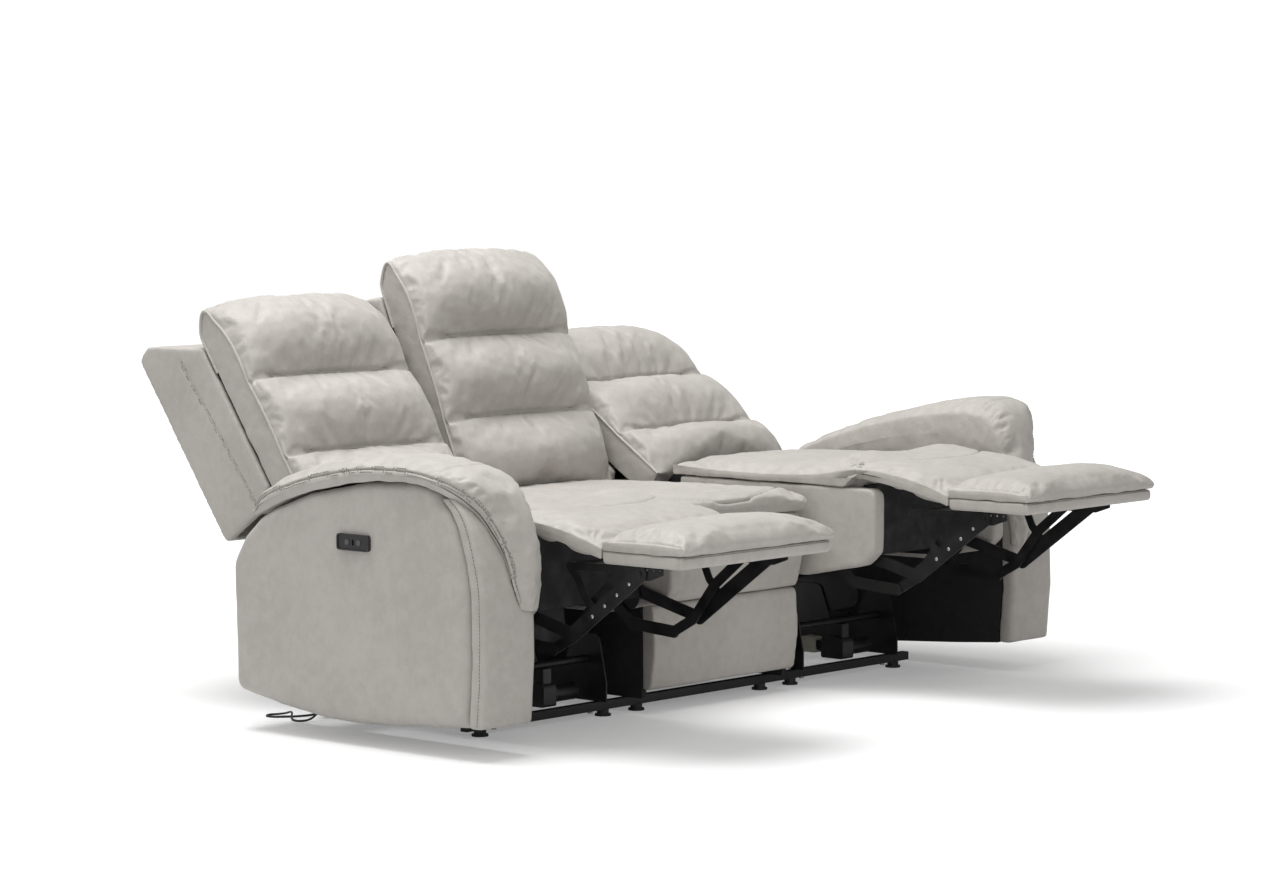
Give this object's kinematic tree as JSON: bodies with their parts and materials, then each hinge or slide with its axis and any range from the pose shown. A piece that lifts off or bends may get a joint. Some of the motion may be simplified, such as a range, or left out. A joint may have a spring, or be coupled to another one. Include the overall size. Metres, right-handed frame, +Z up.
{
  "type": "reclining sofa",
  "caption": "Three seat leather sofa on a steel base: power recliners with footrests at both ends, a fixed seat between, padded arms with control buttons.",
  "frame": {"origin": "floor level under the middle of the sofa, footrests out", "axes": "+X along the sofa to the right seen from the front, the sofa faces -Y, +Z up"},
  "size_m": [2.092, 1.8078, 1.0515],
  "materials": {
    "leather": "soft matt",
    "black_steel": "satin",
    "zinc_steel": "satin",
    "black_plastic": "matt",
    "grey_plastic": "satin",
    "nut_plastic": "matt",
    "cord_rubber": "matt",
    "board": "matt dust cloth over board"
  },
  "bodies": {
    "base": {"floor_rails": "black_steel", "levelling_feet": "black_plastic", "rail_bolts": "zinc_steel", "mechanism_base_plates": "black_steel", "mechanism_cross_tubes": "black_steel", "drive_motors": "black_plastic", "drive_tracks": "black_steel", "middle_frame": "board", "middle_lower_panel": "leather", "middle_upper_panel": "leather", "middle_seat_cushion": "leather", "middle_back_shell": "leather", "middle_back_cushion": "leather", "arm_frames": "board", "arm_side_panels": "leather", "arm_front_panels": "leather", "arm_top_pads": "leather", "control_bezels": "black_plastic", "lead_strain_relief": "black_plastic", "power_lead": "cord_rubber", "power_lead_coil": "cord_rubber", "power_plug": "black_plastic"},
    "left_rocker": {"left_rocker_plates": "black_steel"},
    "left_seat": {"left_seat_plates": "black_steel", "left_seat_deck": "board", "left_seat_fascias": "leather", "left_seat_cushion": "leather", "left_chaise_pad": "leather"},
    "left_back": {"left_back_frame": "black_steel", "left_back_shell": "leather", "left_back_cushion": "leather"},
    "left_footrest": {"left_footrest_board": "leather", "left_footrest_pad": "leather", "left_footrest_brackets": "black_steel"},
    "left_upper_rear_links": {"left_upper_rear_links": "black_steel"},
    "left_lower_rear_links": {"left_lower_rear_links": "black_steel"},
    "left_wide_front_links": {"left_wide_front_links": "black_steel"},
    "left_narrow_front_links": {"left_narrow_front_links": "black_steel"},
    "left_drive_nut": {"left_drive_nut": "nut_plastic"},
    "left_front_button_body": {"left_front_button": "grey_plastic"},
    "left_rear_button_body": {"left_rear_button": "grey_plastic"},
    "right_rocker": {"right_rocker_plates": "black_steel"},
    "right_seat": {"right_seat_plates": "black_steel", "right_seat_deck": "board", "right_seat_fascias": "leather", "right_seat_cushion": "leather", "right_chaise_pad": "leather"},
    "right_back": {"right_back_frame": "black_steel", "right_back_shell": "leather", "right_back_cushion": "leather"},
    "right_footrest": {"right_footrest_board": "leather", "right_footrest_pad": "leather", "right_footrest_brackets": "black_steel"},
    "right_upper_rear_links": {"right_upper_rear_links": "black_steel"},
    "right_lower_rear_links": {"right_lower_rear_links": "black_steel"},
    "right_wide_front_links": {"right_wide_front_links": "black_steel"},
    "right_narrow_front_links": {"right_narrow_front_links": "black_steel"},
    "right_drive_nut": {"right_drive_nut": "nut_plastic"},
    "right_front_button_body": {"right_front_button": "grey_plastic"},
    "right_rear_button_body": {"right_rear_button": "grey_plastic"}
  },
  "joints": [
    {"name": "left_tilt", "type": "hinge", "parent": "base", "child": "left_rocker", "pos_m": [-0.544, -0.067, 0.63], "axis": [-1, 0, 0], "range_deg": [-6, 0]},
    {"name": "left_seat_glide", "type": "slide", "parent": "left_rocker", "child": "left_seat", "axis": [0, -0.9252, 0.3795], "range_m": [-0.03355, 0.11353]},
    {"name": "left_recline", "type": "hinge", "parent": "left_seat", "child": "left_back", "pos_m": [-0.544, 0.3, 0.451], "axis": [-1, 0, 0], "range_deg": [-6.5, 22]},
    {"name": "left_footrest_swing", "type": "hinge", "parent": "left_seat", "child": "left_footrest", "pos_m": [-0.544, -0.406, 0.47], "axis": [-1, 0, 0], "range_deg": [-90, 0], "deforming": ["left_chaise_pad"]},
    {"name": "left_upper_rear_links_turn", "type": "hinge", "parent": "left_seat", "child": "left_upper_rear_links", "pos_m": [-0.544, -0.23, 0.305], "axis": [-1, 0, 0], "range_deg": [-105.81, 0]},
    {"name": "left_lower_rear_links_turn", "type": "hinge", "parent": "left_seat", "child": "left_lower_rear_links", "pos_m": [-0.544, -0.2, 0.262], "axis": [-1, 0, 0], "range_deg": [-87.71, 0]},
    {"name": "left_wide_front_links_turn", "type": "hinge", "parent": "left_footrest", "child": "left_wide_front_links", "pos_m": [-0.544, -0.64, 0.398], "axis": [-1, 0, 0], "range_deg": [0, 83.19]},
    {"name": "left_narrow_front_links_turn", "type": "hinge", "parent": "left_footrest", "child": "left_narrow_front_links", "pos_m": [-0.544, -0.58, 0.396], "axis": [-1, 0, 0], "range_deg": [0, 98.75]},
    {"name": "left_nut_travel", "type": "slide", "parent": "base", "child": "left_drive_nut", "axis": [0, 1, 0], "range_m": [0, 0.1501]},
    {"name": "left_front_press", "type": "slide", "parent": "base", "child": "left_front_button_body", "axis": [1, 0, 0], "range_m": [0, 0.0015], "stiffness_N_per_m": 600, "springref_m": -0.001},
    {"name": "left_rear_press", "type": "slide", "parent": "base", "child": "left_rear_button_body", "axis": [1, 0, 0], "range_m": [0, 0.0015], "stiffness_N_per_m": 600, "springref_m": -0.001},
    {"name": "right_tilt", "type": "hinge", "parent": "base", "child": "right_rocker", "pos_m": [0.544, -0.067, 0.63], "axis": [-1, 0, 0], "range_deg": [-6, 0]},
    {"name": "right_seat_glide", "type": "slide", "parent": "right_rocker", "child": "right_seat", "axis": [0, -0.9252, 0.3795], "range_m": [-0.14707, 0.00001]},
    {"name": "right_recline", "type": "hinge", "parent": "right_seat", "child": "right_back", "pos_m": [0.544, 0.19497, 0.49408], "axis": [-1, 0, 0], "range_deg": [-28.5, 0]},
    {"name": "right_footrest_swing", "type": "hinge", "parent": "right_seat", "child": "right_footrest", "pos_m": [0.544, -0.51103, 0.51308], "axis": [-1, 0, 0], "range_deg": [-90, 0], "deforming": ["right_chaise_pad"]},
    {"name": "right_upper_rear_links_turn", "type": "hinge", "parent": "right_seat", "child": "right_upper_rear_links", "pos_m": [0.544, -0.33503, 0.34808], "axis": [-1, 0, 0], "range_deg": [-105.81, 0]},
    {"name": "right_lower_rear_links_turn", "type": "hinge", "parent": "right_seat", "child": "right_lower_rear_links", "pos_m": [0.544, -0.30503, 0.30508], "axis": [-1, 0, 0], "range_deg": [-87.71, 0]},
    {"name": "right_wide_front_links_turn", "type": "hinge", "parent": "right_footrest", "child": "right_wide_front_links", "pos_m": [0.544, -0.74503, 0.44108], "axis": [-1, 0, 0], "range_deg": [0, 83.19]},
    {"name": "right_narrow_front_links_turn", "type": "hinge", "parent": "right_footrest", "child": "right_narrow_front_links", "pos_m": [0.544, -0.68503, 0.43908], "axis": [-1, 0, 0], "range_deg": [0, 98.75]},
    {"name": "right_nut_travel", "type": "slide", "parent": "base", "child": "right_drive_nut", "axis": [0, 1, 0], "range_m": [0, 0.1501]},
    {"name": "right_front_press", "type": "slide", "parent": "base", "child": "right_front_button_body", "axis": [-1, 0, 0], "range_m": [0, 0.0015], "stiffness_N_per_m": 600, "springref_m": -0.001},
    {"name": "right_rear_press", "type": "slide", "parent": "base", "child": "right_rear_button_body", "axis": [-1, 0, 0], "range_m": [0, 0.0015], "stiffness_N_per_m": 600, "springref_m": -0.001}
  ],
  "couplings": [
    {"joint": "left_upper_rear_links_turn", "follows": "left_footrest_swing", "ratio": 1.1755},
    {"joint": "left_lower_rear_links_turn", "follows": "left_footrest_swing", "ratio": 0.97438},
    {"joint": "left_wide_front_links_turn", "follows": "left_footrest_swing", "ratio": -0.92412},
    {"joint": "left_narrow_front_links_turn", "follows": "left_footrest_swing", "ratio": -1.097},
    {"joint": "left_tilt", "follows": "left_footrest_swing", "ratio": 0.066667},
    {"joint": "left_nut_travel", "follows": "left_footrest_swing", "m_per_rad": -0.095493},
    {"joint": "left_seat_glide", "follows": "left_recline", "m_per_rad": 0.29565},
    {"joint": "right_upper_rear_links_turn", "follows": "right_footrest_swing", "ratio": 1.1755},
    {"joint": "right_lower_rear_links_turn", "follows": "right_footrest_swing", "ratio": 0.97438},
    {"joint": "right_wide_front_links_turn", "follows": "right_footrest_swing", "ratio": -0.92412},
    {"joint": "right_narrow_front_links_turn", "follows": "right_footrest_swing", "ratio": -1.097},
    {"joint": "right_tilt", "follows": "right_footrest_swing", "ratio": 0.066667},
    {"joint": "right_nut_travel", "follows": "right_footrest_swing", "m_per_rad": -0.095493},
    {"joint": "right_seat_glide", "follows": "right_recline", "m_per_rad": 0.29565}
  ]
}
